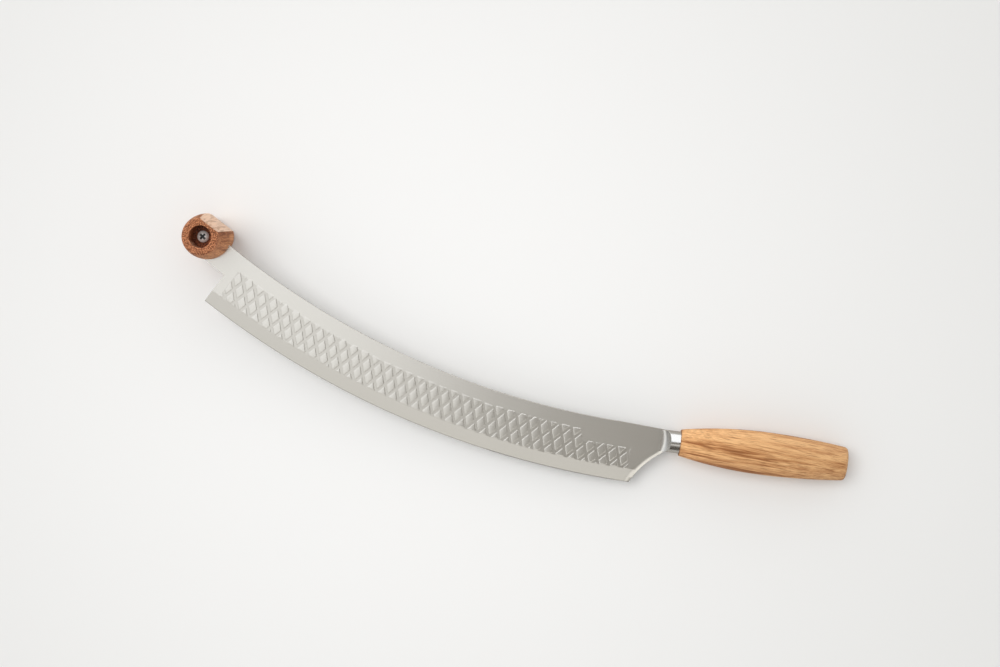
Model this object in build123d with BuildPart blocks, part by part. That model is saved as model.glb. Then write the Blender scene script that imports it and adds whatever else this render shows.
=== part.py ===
from build123d import *
import os
from math import acos, ceil, cos, degrees, hypot, radians, sin, sqrt

os.makedirs("parts", exist_ok=True)

# Curve of the blade: edge and back are arcs about one centre, which stands above the heel
edge_radius = 616.0
blade_width = 41.0
blade_thickness = 2.2
back_rise = 9.1
heel_angle = 0.86
front_angle = 30.95

# Ground bevel along the edge
bevel_width = 9.2
edge_thickness = 0.3

# Front tongue that carries the knob
tongue_width = 18.4
notch_fillet = 1.5
tongue_end_reach = 8.0
tongue_back_fillet = 4.0
tongue_front_fillet = 8.5

# Rear of the plate: the hollow curve up from the heel, the shoulders and the tang
choil_middle_x = -1.0
choil_middle_drop = 19.4
shoulder_x = 13.0
tang_width = 9.0
tang_length = 69.0
tang_end_fillet = 2.0

# Diamond relief on both faces: straight rows of pads, cut off by the zone's curved borders
relief_height = 0.12
relief_row_pitch = 8.41
relief_column_pitch = 14.41
relief_row_turn = -14.84
relief_pad_share = 0.70
relief_middle_angle = 15.15
relief_middle_inset = 17.7
relief_back_inset = 9.6
relief_front_margin = 6.6
relief_heel_margin = 1.5
relief_low_reach = 35.0
relief_low_inset = 23.8

# Bolster, a round neck ground hollow down to the plate at its front
bolster_radius = 7.6
bolster_front_x = 7.0
bolster_rear_x = 22.3
bolster_lip = 0.3
bolster_hollow_radius = 7.5

# Handle, an oval that swells towards its middle
handle_length = 115.0
handle_front_width = 18.2
handle_front_depth = 17.0
handle_middle_reach = 57.0
handle_middle_width = 29.8
handle_middle_depth = 22.0
handle_rear_width = 22.6
handle_rear_depth = 18.0
handle_butt_fillet = 2.2
handle_stations = 6
tang_bore_diameter = 10.4
tang_bore_spare = 2.0

# Knob, turned about an axis square to the blade, in two halves
knob_angle = 33.43
knob_inset = 4.6
knob_length = 52.0
knob_middle_radius = 15.9
knob_end_radius = 12.4
knob_end_fillet = 2.3
knob_facet_middle_distance = 12.4
knob_facet_end_distance = 9.8
knob_recess_clearance = 0.1
well_diameter = 15.4
well_depth = 11.0

# Screw and sleeve nut that clamp the knob's halves on the tongue
screw_diameter = 4.0
screw_length = 27.0
screw_head_diameter = 8.0
screw_head_height = 2.8
screw_head_rim = 0.8
screw_hole_diameter = 4.4
cross_span = 4.6
cross_width = 1.2
cross_depth = 1.6
cross_turn = 52.0
nut_head_diameter = 9.0
nut_head_height = 1.8
nut_sleeve_diameter = 5.8
nut_sleeve_length = 12.5
nut_bore_diameter = 4.1
nut_slot_width = 1.2
nut_slot_depth = 1.0
sleeve_hole_diameter = 6.0

# A cut runs past the face that it opens by this much
overrun = 1.0

# Places that follow from the sizes, measured from under the curve's centre and from the handle's axis
back_radius = edge_radius - blade_width
tongue_radius = back_radius + tongue_width
centre_y = back_rise + back_radius
half_thickness = blade_thickness / 2
half_knob = knob_length / 2
knob_arm = back_radius + knob_inset
knob_x = -knob_arm * sin(radians(knob_angle))
knob_y = centre_y - knob_arm * cos(radians(knob_angle))
tongue_end_angle = knob_angle + degrees(tongue_end_reach / knob_arm)
facet_turn = 90 - front_angle
facet_half_span = degrees(acos(knob_facet_middle_distance / knob_middle_radius))
seat_height = half_knob - well_depth
handle_rear_x = bolster_rear_x + handle_length
shoulder_half_width = sqrt(bolster_radius**2 - half_thickness**2)

# The origin is under the middle of the whole knife, on the plane that the knob's far end stands on
left_x = knob_x - knob_middle_radius
top_y = knob_y + knob_middle_radius * sin(radians(facet_turn + facet_half_span))
bottom_y = centre_y - edge_radius * cos(radians(heel_angle))
plan_x = -(left_x + handle_rear_x) / 2
plan_y = -(top_y + bottom_y) / 2

# The plate's middle plane and the planes that stand on it
blade_plane = Plane(origin=(plan_x, plan_y, half_knob))
neck_side_plane = Plane(origin=blade_plane.origin, x_dir=(1, 0, 0), z_dir=(0, -1, 0))
curve_side_plane = Plane(origin=(plan_x, plan_y + centre_y, half_knob), x_dir=(0, 1, 0), z_dir=(1, 0, 0))
curve_axis = Axis(origin=curve_side_plane.origin, direction=(0, 0, 1))
knob_plane = Plane(origin=(plan_x + knob_x, plan_y + knob_y, half_knob))
knob_side_plane = Plane(origin=knob_plane.origin, x_dir=(1, 0, 0), z_dir=(0, -1, 0))
knob_axis = Axis(origin=knob_plane.origin, direction=(0, 0, 1))


# A section plane square to the handle's axis, its own X along the blade's width
def cross_plane(x):
    return Plane(origin=(plan_x + x, plan_y, half_knob), x_dir=(0, 1, 0), z_dir=(1, 0, 0))


# A point of the plate, its angle about the curve's centre counted from straight below it towards the tip
def on_curve(radius, angle):
    return (-radius * sin(radians(angle)), centre_y - radius * cos(radians(angle)))


def arc_on_curve(radius, start, end):
    ThreePointArc(on_curve(radius, start), on_curve(radius, (start + end) / 2), on_curve(radius, end))


# Outline of the plate without its tang
notch_corner = on_curve(tongue_radius, front_angle)
tongue_front_corner = on_curve(tongue_radius, tongue_end_angle)
tongue_back_corner = on_curve(back_radius, tongue_end_angle)
shoulder_back = (shoulder_x, shoulder_half_width)
shoulder_front = (shoulder_x, -shoulder_half_width)
choil_middle = (choil_middle_x, -choil_middle_drop)
plate_corner_radii = (
    (notch_corner, notch_fillet),
    (tongue_front_corner, tongue_front_fillet),
    (tongue_back_corner, tongue_back_fillet),
)

with BuildSketch() as plate:
    with BuildLine():
        arc_on_curve(edge_radius, heel_angle, front_angle)
        Line(on_curve(edge_radius, front_angle), notch_corner)
        arc_on_curve(tongue_radius, front_angle, tongue_end_angle)
        Line(tongue_front_corner, tongue_back_corner)
        arc_on_curve(back_radius, tongue_end_angle, 0)
        Line(on_curve(back_radius, 0), shoulder_back)
        Line(shoulder_back, shoulder_front)
        ThreePointArc(shoulder_front, choil_middle, on_curve(edge_radius, heel_angle))
    make_face()
    for corner, radius in plate_corner_radii:
        fillet(plate.vertices().sort_by_distance(corner)[0], radius)

# Outline of the tang, from inside the plate to its rounded end
tang_end_x = shoulder_x + tang_length

with BuildSketch() as tang:
    with Locations((shoulder_x - overrun, 0)):
        Rectangle(tang_length + overrun, tang_width, align=(Align.MIN, Align.CENTER))
    fillet(tang.vertices().group_by(Axis.X)[-1], tang_end_fillet)


# Centres of the relief's pads, every other point of a half-pitch grid, as far as the zone reaches
def pad_centres():
    start = on_curve(edge_radius - relief_middle_inset, relief_middle_angle)
    along = (cos(radians(relief_row_turn)), sin(radians(relief_row_turn)))
    half_row = relief_row_pitch / 2
    half_column = relief_column_pitch / 2
    column_count = ceil(radians(front_angle) * edge_radius / relief_row_pitch)
    row_count = ceil(2 * blade_width / relief_column_pitch)
    centres = []
    for row in range(-row_count, row_count + 1):
        for column in range(-2 * column_count, 2 * column_count + 1):
            if (row + column) % 2:
                continue
            across = row * half_column
            ahead = column * half_row
            x = start[0] + ahead * along[0] - across * along[1]
            y = start[1] + ahead * along[1] + across * along[0]
            inset = edge_radius - hypot(x, centre_y - y)
            if 0 < inset < blade_width:
                centres.append((x, y))
    return centres


# Blade: plate, tang and relief pads, then the bevel, which also trims the pads that it meets
pad_half_length = relief_row_pitch * relief_pad_share / 2
pad_half_width = relief_column_pitch * relief_pad_share / 2
relief_outer = edge_radius - bevel_width + overrun
relief_start = front_angle - degrees(relief_front_margin / edge_radius)
relief_low_start = heel_angle + degrees(relief_low_reach / edge_radius)
relief_end = heel_angle + degrees(relief_heel_margin / edge_radius)
relief_zones = (
    (back_radius + relief_back_inset, relief_low_start, relief_start),
    (edge_radius - relief_low_inset, relief_end, relief_low_start),
)
bevel_top = half_thickness + relief_height + overrun
bevel_slope = (half_thickness - edge_thickness / 2) / bevel_width

with BuildSketch() as relief_zone:
    for inner, start, end in relief_zones:
        with BuildLine():
            arc_on_curve(inner, start, end)
            Line(on_curve(inner, end), on_curve(relief_outer, end))
            arc_on_curve(relief_outer, end, start)
            Line(on_curve(relief_outer, start), on_curve(inner, start))
        make_face()

with BuildPart() as blade:
    with BuildSketch(blade_plane):
        add(plate.sketch)
        add(tang.sketch)
        with Locations((knob_x, knob_y)):
            Circle(screw_hole_diameter / 2, mode=Mode.SUBTRACT)
    extrude(amount=half_thickness, both=True)
    with BuildSketch(blade_plane):
        with Locations(*pad_centres()):
            Polygon(
                (pad_half_length, 0),
                (0, pad_half_width),
                (-pad_half_length, 0),
                (0, -pad_half_width),
                rotation=relief_row_turn,
            )
        add(relief_zone.sketch, mode=Mode.INTERSECT)
    extrude(amount=half_thickness + relief_height, both=True)
    with BuildSketch(curve_side_plane):
        with BuildLine():
            Polyline(
                (edge_radius + overrun, edge_thickness / 2 - bevel_slope * overrun),
                (edge_radius + overrun, bevel_top),
                (edge_radius - (bevel_top - edge_thickness / 2) / bevel_slope, bevel_top),
                close=True,
            )
        make_face()
        mirror(about=Plane.XZ)
    revolve(axis=curve_axis, mode=Mode.SUBTRACT)
blade.part.label = "blade"
export_step(blade.part, "parts/blade.step")

# Bolster: round bar, ground hollow on both faces towards the blade and slotted for plate and tang
lip_height = half_thickness + bolster_lip
hollow_rise = bolster_radius + overrun - lip_height
hollow_run = sqrt(bolster_hollow_radius**2 - (bolster_hollow_radius - hollow_rise) ** 2)
slot_length = shoulder_x - bolster_front_x + overrun
slot_width = 2 * (bolster_radius + overrun)

with BuildPart() as bolster:
    with BuildSketch(cross_plane(bolster_front_x)):
        Circle(bolster_radius)
    extrude(amount=bolster_rear_x - bolster_front_x)
    with BuildSketch(neck_side_plane):
        with BuildLine():
            TangentArc(
                (bolster_front_x, lip_height),
                (bolster_front_x + hollow_run, lip_height + hollow_rise),
                tangent=(1, 0),
            )
            Polyline(
                (bolster_front_x + hollow_run, lip_height + hollow_rise),
                (bolster_front_x - overrun, lip_height + hollow_rise),
                (bolster_front_x - overrun, lip_height),
                (bolster_front_x, lip_height),
            )
        make_face()
        mirror(about=Plane.XZ)
    extrude(amount=bolster_radius + overrun, both=True, mode=Mode.SUBTRACT)
    with BuildSketch(blade_plane):
        with Locations((bolster_front_x - overrun, 0)):
            Rectangle(slot_length, slot_width, align=(Align.MIN, Align.CENTER))
        add(tang.sketch)
    extrude(amount=half_thickness, both=True, mode=Mode.SUBTRACT)
bolster.part.label = "bolster"
export_step(bolster.part, "parts/bolster.step")

# Tang resin: fills the handle's bore around the tang
bore_depth = tang_end_x - bolster_rear_x + tang_bore_spare

with BuildPart() as tang_resin:
    with BuildSketch(cross_plane(bolster_rear_x)):
        Circle(tang_bore_diameter / 2)
    extrude(amount=bore_depth)
    with BuildSketch(blade_plane):
        add(tang.sketch)
    extrude(amount=half_thickness, both=True, mode=Mode.SUBTRACT)
tang_resin.part.label = "tang_resin"
export_step(tang_resin.part, "parts/tang_resin.step")


# Handle: width or depth at a reach behind the bolster, a curve that crests at the middle
def swell(reach, front, middle, rear):
    if reach < handle_middle_reach:
        away = 1 - reach / handle_middle_reach
        return middle - (middle - front) * away**2
    away = (reach - handle_middle_reach) / (handle_length - handle_middle_reach)
    return middle - (middle - rear) * away**2


with BuildPart() as handle:
    for station in range(handle_stations + 1):
        reach = handle_length * station / handle_stations
        width = swell(reach, handle_front_width, handle_middle_width, handle_rear_width)
        depth = swell(reach, handle_front_depth, handle_middle_depth, handle_rear_depth)
        with BuildSketch(cross_plane(bolster_rear_x + reach)):
            Ellipse(width / 2, depth / 2)
    loft()
    fillet(handle.faces().sort_by(Axis.X)[-1].edges(), handle_butt_fillet)
    with BuildSketch(cross_plane(bolster_rear_x)):
        Circle(tang_bore_diameter / 2)
    extrude(amount=bore_depth, mode=Mode.SUBTRACT)
handle.part.label = "handle"
export_step(handle.part, "parts/handle.step")

# Knob halves: turned barrel, one facet along the blade's back that curves with the barrel, a well for the
# fastener and half of the tongue's recess
facet_direction = knob_plane.rotated((0, 0, facet_turn))
facet_side_plane = Plane(
    origin=knob_plane.origin, x_dir=facet_direction.x_dir, z_dir=facet_direction.y_dir
)
facet_reach = knob_middle_radius + overrun
facet_top = half_knob + overrun
knob_halves = (
    ("knob_front_half", 1, screw_hole_diameter),
    ("knob_back_half", -1, sleeve_hole_diameter),
)

for knob_name, side, hole_diameter in knob_halves:
    end_height = side * half_knob
    with BuildPart() as knob_half:
        with BuildSketch(knob_side_plane) as barrel:
            with BuildLine():
                Line((0, 0), (knob_middle_radius, 0))
                TangentArc((knob_middle_radius, 0), (knob_end_radius, end_height), tangent=(0, side))
                Line((knob_end_radius, end_height), (0, end_height))
                Line((0, end_height), (0, 0))
            make_face()
            fillet(barrel.vertices().sort_by_distance((knob_end_radius, end_height))[0], knob_end_fillet)
        revolve(axis=knob_axis)
        with BuildSketch(facet_side_plane):
            with BuildLine():
                ThreePointArc(
                    (knob_facet_end_distance, -half_knob),
                    (knob_facet_middle_distance, 0),
                    (knob_facet_end_distance, half_knob),
                )
                Polyline(
                    (knob_facet_end_distance, half_knob),
                    (knob_facet_end_distance, facet_top),
                    (facet_reach, facet_top),
                    (facet_reach, -facet_top),
                    (knob_facet_end_distance, -facet_top),
                    (knob_facet_end_distance, -half_knob),
                )
            make_face()
        extrude(amount=knob_middle_radius, both=True, mode=Mode.SUBTRACT)
        with BuildSketch(knob_plane.offset(side * seat_height)):
            Circle(well_diameter / 2)
        extrude(amount=side * (well_depth + overrun), mode=Mode.SUBTRACT)
        with BuildSketch(knob_plane):
            Circle(hole_diameter / 2)
        extrude(amount=half_knob, both=True, mode=Mode.SUBTRACT)
        with BuildSketch(blade_plane):
            add(plate.sketch)
            offset(amount=knob_recess_clearance)
        extrude(amount=half_thickness, both=True, mode=Mode.SUBTRACT)
    knob_half.part.label = knob_name
    export_step(knob_half.part, f"parts/{knob_name}.step")

# Knob screw: pan head with a cross recess, seated on the front well's floor
head_top = seat_height + screw_head_height
head_radius = screw_head_diameter / 2
shank_radius = screw_diameter / 2

with BuildPart() as knob_screw:
    with BuildSketch(knob_side_plane):
        with BuildLine():
            TangentArc((0, head_top), (head_radius, seat_height + screw_head_rim), tangent=(1, 0))
            Polyline(
                (head_radius, seat_height + screw_head_rim),
                (head_radius, seat_height),
                (shank_radius, seat_height),
                (shank_radius, seat_height - screw_length),
                (0, seat_height - screw_length),
                (0, head_top),
            )
        make_face()
    revolve(axis=knob_axis)
    with BuildSketch(knob_plane.offset(head_top).rotated((0, 0, cross_turn))):
        Rectangle(cross_span, cross_width)
        Rectangle(cross_width, cross_span)
    extrude(amount=-cross_depth, mode=Mode.SUBTRACT)
knob_screw.part.label = "knob_screw"
export_step(knob_screw.part, "parts/knob_screw.step")

# Knob nut: a slotted sleeve nut, seated on the back well's floor
nut_head_radius = nut_head_diameter / 2
nut_sleeve_radius = nut_sleeve_diameter / 2
nut_bore_radius = nut_bore_diameter / 2
nut_end = -seat_height - nut_head_height
sleeve_end = nut_sleeve_length - seat_height

with BuildPart() as knob_nut:
    with BuildSketch(knob_side_plane):
        with BuildLine():
            Polyline(
                (0, nut_end),
                (nut_head_radius, nut_end),
                (nut_head_radius, -seat_height),
                (nut_sleeve_radius, -seat_height),
                (nut_sleeve_radius, sleeve_end),
                (nut_bore_radius, sleeve_end),
                (nut_bore_radius, -seat_height),
                (0, -seat_height),
                close=True,
            )
        make_face()
    revolve(axis=knob_axis)
    with BuildSketch(knob_plane.offset(nut_end)):
        Rectangle(nut_head_diameter + overrun, nut_slot_width)
    extrude(amount=nut_slot_depth, mode=Mode.SUBTRACT)
knob_nut.part.label = "knob_nut"
export_step(knob_nut.part, "parts/knob_nut.step")
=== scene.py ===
import bmesh
import bpy
from math import asin, atan2, cos, degrees, pi, radians, sin, sqrt, tan
from mathutils import Matrix, Vector


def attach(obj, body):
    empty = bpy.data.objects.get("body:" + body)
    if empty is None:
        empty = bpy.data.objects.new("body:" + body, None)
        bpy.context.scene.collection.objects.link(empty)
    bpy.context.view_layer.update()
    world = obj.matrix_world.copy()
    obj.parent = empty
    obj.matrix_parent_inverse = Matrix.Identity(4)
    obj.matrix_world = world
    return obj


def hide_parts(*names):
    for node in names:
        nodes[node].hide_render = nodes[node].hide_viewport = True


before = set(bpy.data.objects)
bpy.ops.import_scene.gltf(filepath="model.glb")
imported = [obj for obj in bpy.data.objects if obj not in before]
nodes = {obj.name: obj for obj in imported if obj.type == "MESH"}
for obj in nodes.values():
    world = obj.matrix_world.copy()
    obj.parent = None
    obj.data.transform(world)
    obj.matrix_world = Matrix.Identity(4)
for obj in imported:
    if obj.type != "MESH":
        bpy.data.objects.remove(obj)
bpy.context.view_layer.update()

mm = 0.001
tiny = 0.001 * mm  # lengths below this count as none
white, black = (1.0, 1.0, 1.0), (0.0, 0.0, 0.0)
scene = bpy.context.scene

# The blade's curve, the handle's axis and the knob's axis, as the solids have them
layout = {
    "curveCentre": (98.956 * mm, 541.944 * mm),
    "axisY": -42.156 * mm,
    "planX": 98.956 * mm,
    "bladeZ": 26.0 * mm,
    "knob": (-220.356 * mm, 58.234 * mm),
    "facetTurn": 59.05,  # degrees from +X to the side that the knob's facet faces
}
planX, axisY, bladeZ = layout["planX"], layout["axisY"], layout["bladeZ"]
curveCentre = Vector((*layout["curveCentre"], bladeZ))
knobCentre = Vector((*layout["knob"], bladeZ))


# Shared helpers

def between(first, last, count, start=0):
    # even steps from first to last; with start 1 the first is left out
    return [first + (last - first) * i / count for i in range(start, count + 1)]


def shaded(colour, share):
    return tuple(c * share for c in colour)


def vertsIn(items):
    return [item for item in items if isinstance(item, bmesh.types.BMVert)]


def extrudeRow(bm, edges):
    # the new vertices and the new row of edges
    made = bmesh.ops.extrude_edge_only(bm, edges=edges)["geom"]
    return vertsIn(made), [item for item in made if isinstance(item, bmesh.types.BMEdge)]


def barRing(bm, x, radius, segments):
    # a ring round the handle's axis
    place = Matrix.Translation((x, axisY, bladeZ)) @ Matrix.Rotation(pi / 2, 4, "Y")
    bmesh.ops.create_circle(bm, cap_ends=False, radius=radius, segments=segments, matrix=place)
    return list(bm.verts), list(bm.edges)


def faceOutward(bm):
    bmesh.ops.recalc_face_normals(bm, faces=bm.faces)


def closeEnds(bm):
    bmesh.ops.holes_fill(bm, edges=[e for e in bm.edges if e.is_boundary], sides=0)


def linked(name, data):
    made = bpy.data.objects.new(name, data)
    scene.collection.objects.link(made)
    return made


def byPlace(vert):
    return [round(c / tiny) for c in vert.co]


def byVerts(item):
    return sorted(vert.index for vert in item.verts)


def newObject(bm, name):
    # put in order by position first, because bmesh leaves another order in each run
    for items, key in ((bm.verts, byPlace), (bm.edges, byVerts), (bm.faces, byVerts)):
        for place, item in enumerate(sorted(items, key=key)):
            item.index = place
        items.sort()
    mesh = bpy.data.meshes.new(name)
    bm.to_mesh(mesh)
    bm.free()
    return linked(name, mesh)


def finishPiece(bm, name, node, material, sharpAngle):
    # outward faces, smooth shading with sharp edges only where the shape turns
    bmesh.ops.remove_doubles(bm, verts=bm.verts, dist=2 * tiny)
    faceOutward(bm)
    limit = radians(sharpAngle)
    for face in bm.faces:
        face.smooth = True
    for edge in bm.edges:
        if len(edge.link_faces) == 2:
            edge.smooth = edge.calc_face_angle(0.0) < limit
    piece = newObject(bm, name)
    piece.data.materials.append(material)
    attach(piece, "root")
    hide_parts(node)


class Net:
    # short ways to add and link shader nodes of one material or world
    def __init__(self, tree):
        self.tree = tree

    def feed(self, inputs, feeds):
        # links outputs to the named inputs and sets plain values on them
        for key, value in feeds.items():
            if isinstance(value, bpy.types.NodeSocket):
                self.tree.links.new(value, inputs[key])
            elif isinstance(value, tuple) and len(inputs[key].default_value) == 4:
                inputs[key].default_value = (*value, 1.0)
            else:
                inputs[key].default_value = value

    def node(self, kind, feeds=None, **values):
        made = self.tree.nodes.new("ShaderNode" + kind)
        for key, value in values.items():
            setattr(made, key, value)
        self.feed(made.inputs, feeds or {})
        return made.outputs

    def maths(self, operation, first, second=0.0):
        return self.node("Math", {0: first, 1: second}, operation=operation)[0]

    def product(self, first, second):
        return self.maths("MULTIPLY", first, second)

    def scaled(self, value, factor, start):
        return self.maths("ADD", self.product(value, factor), start)

    def clamped(self, value, low, high):
        return self.maths("MINIMUM", self.maths("MAXIMUM", value, low), high)

    def shareOf(self, value, begin, end):
        # 0 at begin, 1 at end
        return self.maths("DIVIDE", self.maths("SUBTRACT", value, begin), end - begin)

    def within(self, value, low, high):
        above, below = self.maths("GREATER_THAN", value, low), self.maths("LESS_THAN", value, high)
        return self.product(above, below)

    def split(self, vector):
        return self.node("SeparateXYZ", {0: vector})

    def length(self, vector):
        return self.node("VectorMath", {0: vector}, operation="LENGTH")["Value"]

    def dot(self, first, second):
        return self.node("VectorMath", {0: first, 1: second}, operation="DOT_PRODUCT")["Value"]

    def ramp(self, factor, stops, interpolation="LINEAR"):
        made = self.tree.nodes.new("ShaderNodeValToRGB")
        made.color_ramp.interpolation = interpolation
        elements = made.color_ramp.elements
        while len(elements) < len(stops):
            elements.new(0.5)
        for element, (place, colour) in zip(elements, stops):
            element.position = place
            element.color = (*colour, 1.0)
        self.feed(made.inputs, {"Fac": factor})
        return made.outputs["Color"]

    def mix(self, factor, first, second, blend="MIX"):
        feeds = {0: factor, 6: first, 7: second}
        return self.node("Mix", feeds, data_type="RGBA", blend_type=blend)[2]

    def times(self, first, second, factor=1.0):
        return self.mix(factor, first, second, "MULTIPLY")

    def noise(self, vector, scale, detail=2.0, roughness=0.5, distortion=0.0):
        feeds = {"Scale": scale, "Detail": detail, "Roughness": roughness, "Distortion": distortion}
        return self.node("TexNoise", {"Vector": vector, **feeds})["Fac"]

    def mapping(self, vector, location=(0, 0, 0), rotation=(0, 0, 0), scale=(1, 1, 1)):
        feeds = {"Location": location, "Rotation": rotation, "Scale": scale}
        return self.node("Mapping", {"Vector": vector, **feeds})["Vector"]

    def bump(self, height, strength, distance):
        feeds = {"Height": height, "Strength": strength, "Distance": distance}
        return self.node("Bump", feeds)["Normal"]


def newMaterial(name):
    material = bpy.data.materials.new(name)
    material.use_nodes = True
    net = Net(material.node_tree)
    shader = material.node_tree.nodes["Principled BSDF"].inputs
    place = net.node("TexCoord")["Object"]
    return material, net, shader, place


# Camera

camera = {
    "aim": (-0.0114, 0.0170, 0.026),  # the blade's plane at the middle of the picture
    "distance": 1.08,
    "lean": (0.030, 0.0746),  # the camera stands this share of its distance towards +X and +Y
    "turn": 7.15,  # degrees that the handle's axis is turned down in the picture
    "fieldWidth": 0.6906,
    "sensor": 36.0,
    "clip": (0.05, 50.0),
}


def makeCamera():
    data = bpy.data.cameras.new("camera")
    data.sensor_width = camera["sensor"]
    data.lens = camera["sensor"] * camera["distance"] / camera["fieldWidth"]
    data.clip_start, data.clip_end = camera["clip"]
    eye = linked("camera", data)
    back = Vector((*camera["lean"], 1.0)).normalized()
    turn = radians(camera["turn"])
    right = Vector((-sin(turn), cos(turn), 0.0)).cross(back).normalized()
    axes = Matrix((right, back.cross(right), back)).transposed()
    place = Vector(camera["aim"]) + back * camera["distance"]
    eye.matrix_world = Matrix.Translation(place) @ axes.to_4x4()
    scene.camera = eye


makeCamera()
print("camera placed")


# Light

light = {
    "sunTurn": 143.0,  # degrees in the picture, from its right side
    "sunHeight": 61.0,
    "sunSpread": 44.0,
    "sunStrength": 1.38,
    "sunColour": (1.0, 0.998, 0.992),
    "softTint": (1.0, 0.992, 0.975),
    "horizon": 1.72,  # the soft light from all round, stronger low down than overhead
    "zenith": 0.16,
    "backdrop": (0.86, 0.86, 0.85),
    # what metal sees overhead: a level that rises towards +X and +Y, and a dark patch beside the zenith
    "skyLevel": 1.40,
    "skyRise": (1.04, 1.20),
    "skyLimits": (0.30, 1.30),
    "skyTints": ((0.30, (1.0, 0.98, 0.94)), (0.50, (1.0, 1.02, 1.055))),  # by direction, from -Y to +Y
    "darkTint": (0.05, 0.032, 0.012),
    "darkPlace": (0.180, -0.106),  # middle of the patch, as the direction's X and Y
    "darkEnds": (0.20, 0.275),  # the patch fades between these distances from its middle
    "lowFall": (0.9, -0.30, -0.54),  # the far side darkens too: weight of +X, then where that begins and ends
    "lowTint": (0.16, 0.14, 0.12),
}


def makeSun():
    data = bpy.data.lights.new("softSun", "SUN")
    data.energy = light["sunStrength"]
    data.angle = radians(light["sunSpread"])
    data.color = light["sunColour"]
    lamp = linked("softSun", data)
    lamp.visible_glossy = False
    turn = radians(light["sunTurn"] + camera["turn"])
    height = radians(light["sunHeight"])
    flat = cos(height)
    towards = Vector((cos(turn) * flat, sin(turn) * flat, sin(height)))
    lamp.rotation_mode = "QUATERNION"
    lamp.rotation_quaternion = towards.to_track_quat("Z", "Y")


def makeWorld():
    world = bpy.data.worlds.new("studio")
    world.use_nodes = True
    scene.world = world
    world.node_tree.nodes.clear()
    net = Net(world.node_tree)
    direction = net.node("TexCoord")["Generated"]
    ray = net.node("LightPath")
    parts = net.split(direction)
    # soft light on the matt surfaces
    horizon, zenith = (shaded(light["softTint"], light[key]) for key in ("horizon", "zenith"))
    soft = net.mix(net.maths("MAXIMUM", parts["Z"], 0.0), horizon, zenith)
    # the room overhead that metal reflects
    level = net.maths("ADD", net.dot(direction, (*light["skyRise"], 0.0)), light["skyLevel"])
    side = net.scaled(parts["Y"], 0.5, 0.5)
    sky = net.times(net.ramp(side, light["skyTints"]), net.clamped(level, *light["skyLimits"]))
    darkX, darkY = light["darkPlace"]
    away = net.length(net.mapping(direction, location=(-darkX, -darkY, 0), scale=(1, 1, 0)))
    reach = net.shareOf(away, *light["darkEnds"])
    clear = net.ramp(reach, ((0.0, light["darkTint"]), (1.0, white)), "EASE")
    share, begin, end = light["lowFall"]
    far = net.scaled(net.maths("MAXIMUM", parts["X"], 0.0), share, parts["Y"])
    fall = net.ramp(net.shareOf(far, begin, end), ((0.0, white), (1.0, light["lowTint"])), "EASE")
    gloss = net.times(net.times(sky, clear), fall)
    plain = net.mix(ray["Is Glossy Ray"], soft, gloss)
    shown = net.mix(ray["Is Camera Ray"], plain, light["backdrop"])
    net.node("OutputWorld", {"Surface": net.node("Background", {"Color": shown})[0]})


makeSun()
makeWorld()
scene.view_settings.view_transform = "Standard"
print("light set")


# Floor: the plane that the knob's far end and the handle's underside rest on

floor = {
    "slope": (0.0191, -0.0746),  # rise along +X and +Y
    "size": 60.0,
    "colour": (0.892, 0.892, 0.890),
    "grain": (900.0, 3.0),  # scale and detail of the noise in its colour
    "grainShade": 0.995,
    "paintedFalloff": (0.640, 0.642, 0.630),  # painted light falloff: the share of the paper's colour that is left far from the brightest place
    "paintedLightPlace": (-0.097, 0.030),
    "fade": (0.52, 0.54),  # distances, along and across the picture, of half the fade
    "reflectedShade": (0.42, 0.40, 0.37),  # painted shade: the floor's colour as polished metal shows it, darker than the floor itself
    "roughness": 0.75,
    "specular": 0.2,
}


def floorRise(co):
    return floor["slope"][0] * co.x + floor["slope"][1] * co.y


def floorPaper():
    material, net, shader, place = newMaterial("floorPaper")
    grain = net.noise(place, *floor["grain"])
    colour = net.mix(grain, shaded(floor["colour"], floor["grainShade"]), floor["colour"])
    # painted light: the paper's colour darkens away from one bright place, as a pool of light falls off
    brightX, brightY = floor["paintedLightPlace"]
    centred = net.mapping(place, location=(-brightX, -brightY, 0))
    size = (1 / floor["fade"][0], 1 / floor["fade"][1], 0)
    turned = net.mapping(centred, rotation=(0, 0, -radians(camera["turn"])), scale=size)
    away = net.dot(turned, turned)
    far = net.maths("DIVIDE", away, net.maths("ADD", away, 1.0))
    colour = net.times(colour, net.mix(far, white, floor["paintedFalloff"]))
    # painted shade: glossy rays see the floor in this darker colour
    colour = net.mix(net.node("LightPath")["Is Glossy Ray"], colour, floor["reflectedShade"])
    finish = {"Base Color": colour, "Roughness": floor["roughness"], "Specular IOR Level": floor["specular"]}
    net.feed(shader, finish)
    return material


def makeFloor():
    lowest = min(v.co.z - floorRise(v.co) for node in nodes.values() for v in node.data.vertices)
    bm = bmesh.new()
    bmesh.ops.create_grid(bm, x_segments=1, y_segments=1, size=floor["size"] / 2)
    for vert in bm.verts:
        vert.co.z = lowest + floorRise(vert.co)
    obj = newObject(bm, "floor")
    obj.data.materials.append(floorPaper())


makeFloor()
print("floor laid")


# Steel

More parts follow.
